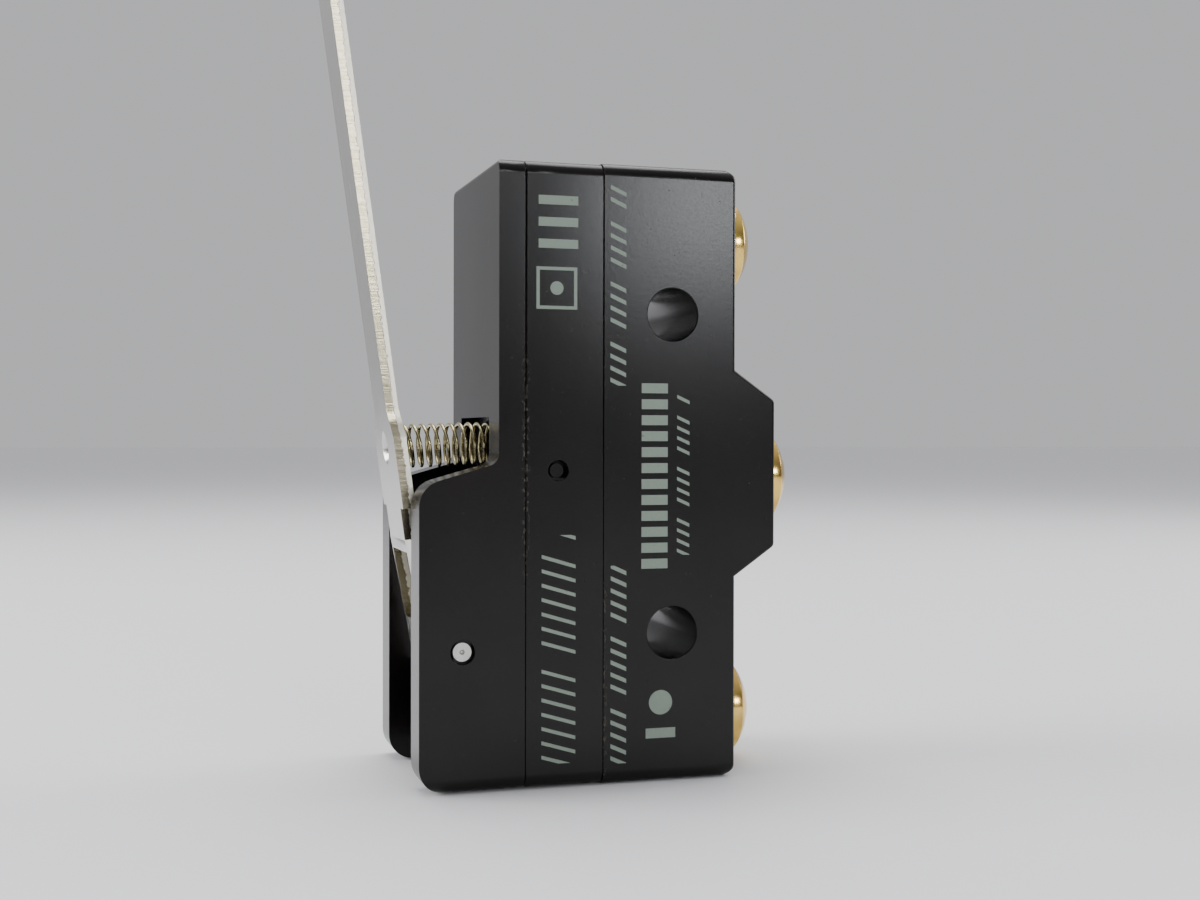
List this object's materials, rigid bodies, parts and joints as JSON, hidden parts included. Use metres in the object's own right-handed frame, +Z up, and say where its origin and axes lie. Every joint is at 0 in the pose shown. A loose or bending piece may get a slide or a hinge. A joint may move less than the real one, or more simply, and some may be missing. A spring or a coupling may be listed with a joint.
{
  "type": "limit switch",
  "caption": "Snap-action limit switch: black moulded case with a long hinged steel lever, return spring, plunger and screw terminals.",
  "frame": {"origin": "on the lower end face, under the line through the two mounting holes, at mid width", "axes": "+Z up the case from the hinge end, +X towards the screw terminals (the lever is on -X), +Y across the case from the printed face"},
  "size_m": [0.0411, 0.0174, 0.0736],
  "materials": {
    "base_phenolic": "satin black moulded phenolic",
    "cover_phenolic": "satin black moulded phenolic",
    "holder_phenolic": "satin black moulded phenolic",
    "lever_nickel": "nickel-plated pressed steel with sheared edges",
    "pin_steel": "ground steel",
    "spring_steel": "drawn spring wire",
    "plunger_plastic": "dark moulded plastic",
    "blade_copper": "beryllium copper strip",
    "contact_silver": "silver contact",
    "rivet_brass": "brass",
    "terminal_brass": "brass strip",
    "screw_brass": "brass-plated screw",
    "washer_brass": "plated pressed washer"
  },
  "bodies": {
    "case": {"terminal_base": "base_phenolic", "switch_cover": "cover_phenolic", "lever_holder": "holder_phenolic", "hinge_pin": "pin_steel", "return_spring": "spring_steel", "blade_rivet": "rivet_brass", "common_terminal": "terminal_brass", "open_terminal": "terminal_brass", "closed_terminal": "terminal_brass", "open_contact": "contact_silver", "closed_contact": "contact_silver", "common_screw": "screw_brass", "open_screw": "screw_brass", "closed_screw": "screw_brass", "common_washer": "washer_brass", "open_washer": "washer_brass", "closed_washer": "washer_brass"},
    "lever": {"hinge_lever": "lever_nickel"},
    "plunger": {"plunger": "plunger_plastic"},
    "blade": {"snap_blade": "blade_copper", "bow_spring": "blade_copper", "moving_contact": "contact_silver"}
  },
  "joints": [
    {"name": "lever_hinge", "type": "hinge", "parent": "case", "child": "lever", "pos_m": [-0.01705, 0, 0.01095], "axis": [0, 1, 0], "range_deg": [0, 13], "stiffness_Nm_per_rad": 0.06, "springref_deg": -17.19, "deforming": ["return_spring"]},
    {"name": "plunger_slide", "type": "slide", "parent": "case", "child": "plunger", "axis": [1, 0, 0], "range_m": [0, 0.0013]},
    {"name": "blade_flex", "type": "hinge", "parent": "case", "child": "blade", "pos_m": [-0.00718, 0, 0.00925], "axis": [0, 1, 0], "range_deg": [0, 1.7]}
  ],
  "couplings": [
    {"joint": "plunger_slide", "follows": "lever_hinge", "m_per_rad": 0.0057},
    {"joint": "blade_flex", "follows": "lever_hinge", "ratio": 0.129}
  ]
}
